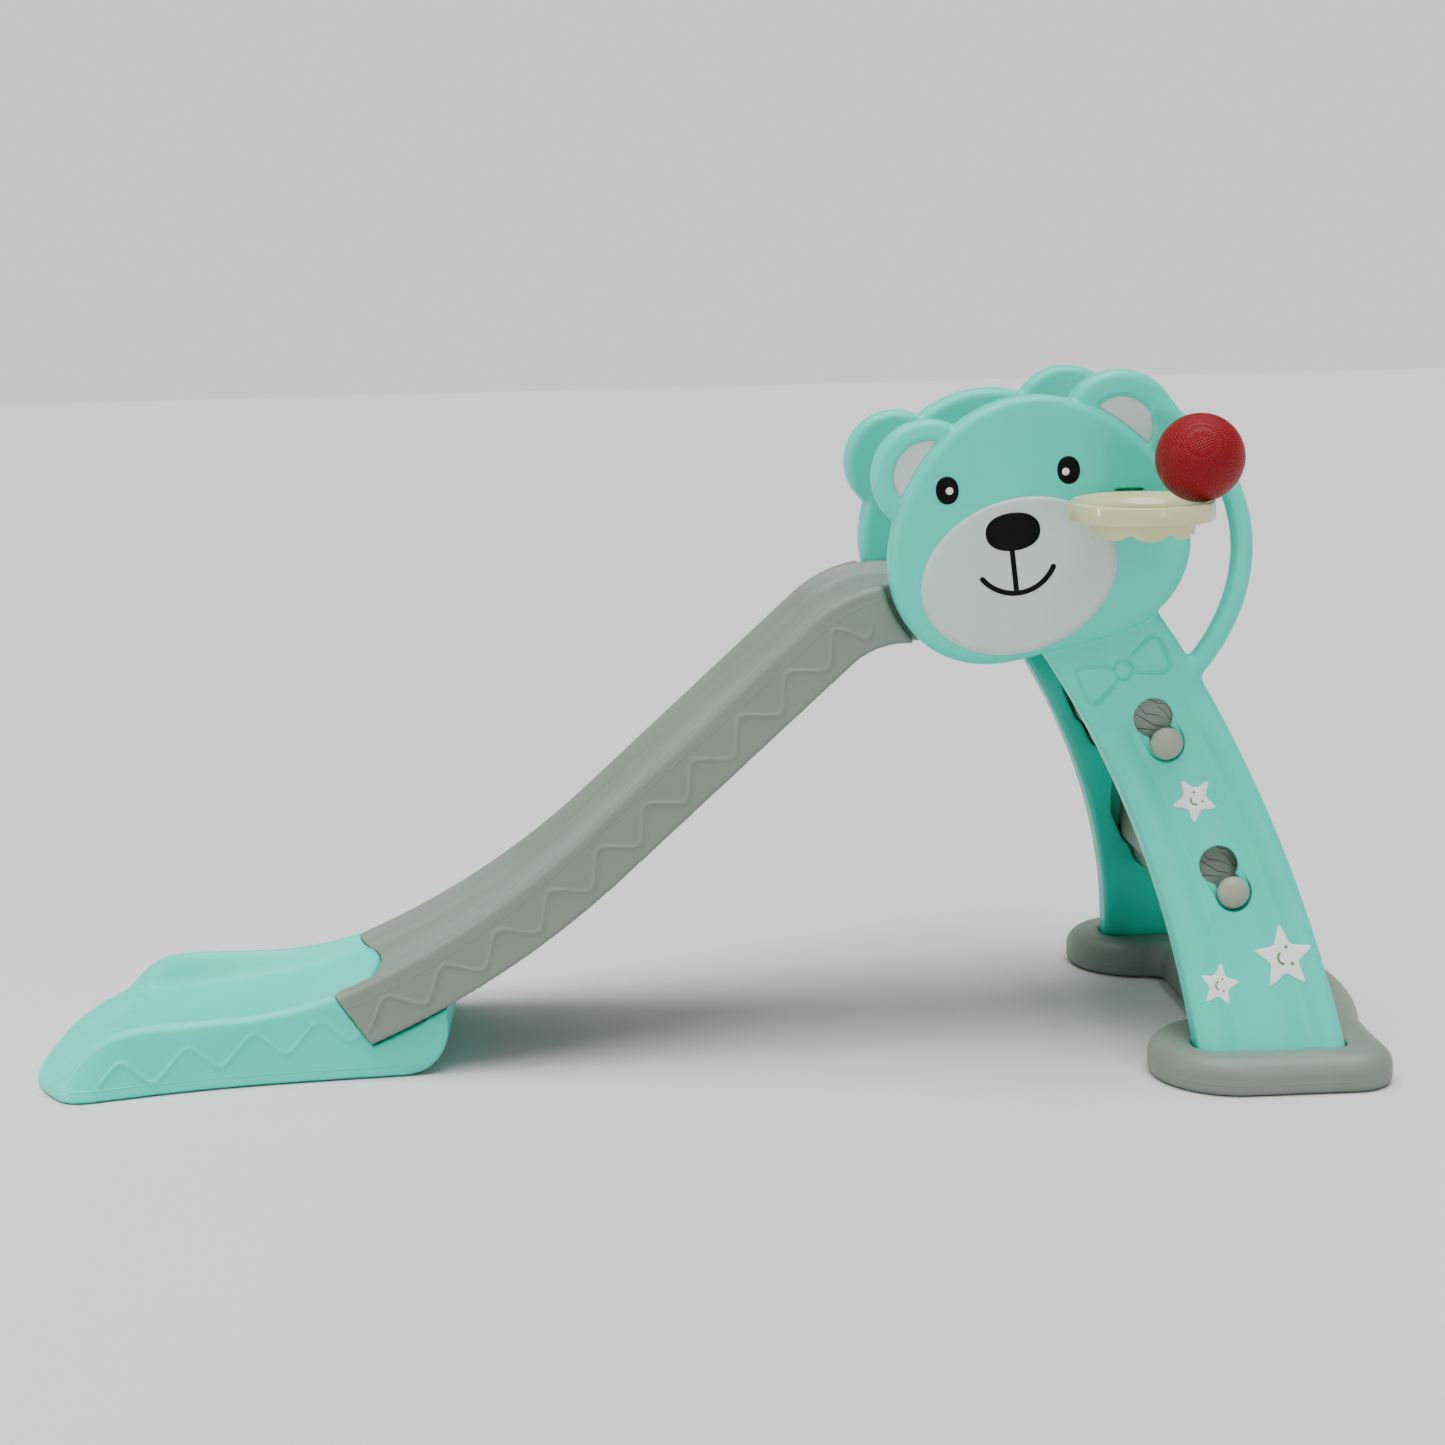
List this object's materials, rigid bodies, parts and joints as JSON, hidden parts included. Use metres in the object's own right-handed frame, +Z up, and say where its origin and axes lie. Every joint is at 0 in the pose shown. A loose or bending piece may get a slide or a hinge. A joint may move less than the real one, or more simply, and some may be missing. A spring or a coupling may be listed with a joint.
{
  "type": "toddler slide",
  "caption": "Indoor toddler slide with bear-head side panels, a folding two-piece chute, keyhole steps, a flared base and a clip-on ball hoop.",
  "frame": {"origin": "middle of the whole slide's footprint, on the floor", "axes": "+Z up, +X from the chute's exit towards the climbing side, +Y away from the side that carries the ball hoop"},
  "size_m": [1.487, 0.6326, 0.748],
  "materials": {
    "side_panel": "blow-moulded polyethylene, mint green, satin",
    "chute_end": "blow-moulded polyethylene, mint green, satin",
    "chute": "blow-moulded polyethylene, warm grey, satin",
    "base": "blow-moulded polyethylene, warm grey, satin",
    "step": "blow-moulded polyethylene, warm grey, satin",
    "hoop": "injection-moulded plastic, cream, glossy",
    "ball": "soft vinyl, red, pebbled",
    "valve": "black rubber plug",
    "film": "printed film, pale grey, semi-gloss",
    "star_film": "printed film, pale grey, glossy",
    "print": "black print, semi-gloss",
    "tube": "zinc-plated steel tube",
    "screw": "zinc-plated steel screw"
  },
  "bodies": {
    "frame": {"near_side_panel": "side_panel", "far_side_panel": "side_panel", "base_plate": "base", "pivot_tube": "tube", "deck_rest_tube": "tube", "near_muzzle_film": "film", "near_front_ear_film": "film", "near_back_ear_film": "film", "far_muzzle_film": "film", "far_front_ear_film": "film", "far_back_ear_film": "film", "near_nose_print": "print", "near_smile_print": "print", "near_front_eye": "print", "near_back_eye": "print", "far_nose_print": "print", "far_smile_print": "print", "far_front_eye": "print", "far_back_eye": "print", "near_star_1": "star_film", "near_star_2": "star_film", "near_star_3": "star_film", "far_star_1": "star_film", "far_star_2": "star_film", "far_star_3": "star_film"},
    "chute": {"upper_chute": "chute", "chute_end": "chute_end", "chute_end_screw_1": "screw", "chute_end_screw_2": "screw"},
    "lower_step": {"lower_step": "step"},
    "upper_step": {"upper_step": "step"},
    "hoop": {"hoop": "hoop"},
    "ball": {"ball": "ball", "ball_valve": "valve"}
  },
  "joints": [
    {"name": "chute_fold", "type": "hinge", "parent": "frame", "child": "chute", "pos_m": [0.3585, 0.0043, 0.49], "axis": [0, -1, 0], "range_deg": [0, 60]},
    {"name": "lower_step_release", "type": "slide", "parent": "frame", "child": "lower_step", "axis": [-0.4384, 0, 0.8988], "range_m": [0, 0.031]},
    {"name": "upper_step_release", "type": "slide", "parent": "frame", "child": "upper_step", "axis": [-0.4384, 0, 0.8988], "range_m": [0, 0.031]},
    {"name": "hoop_lift", "type": "slide", "parent": "frame", "child": "hoop", "axis": [0, 0, 1], "range_m": [0, 0.01]},
    {"name": "ball_lift", "type": "slide", "parent": "hoop", "child": "ball", "axis": [0, 0, 1], "range_m": [0, 0.1]}
  ]
}
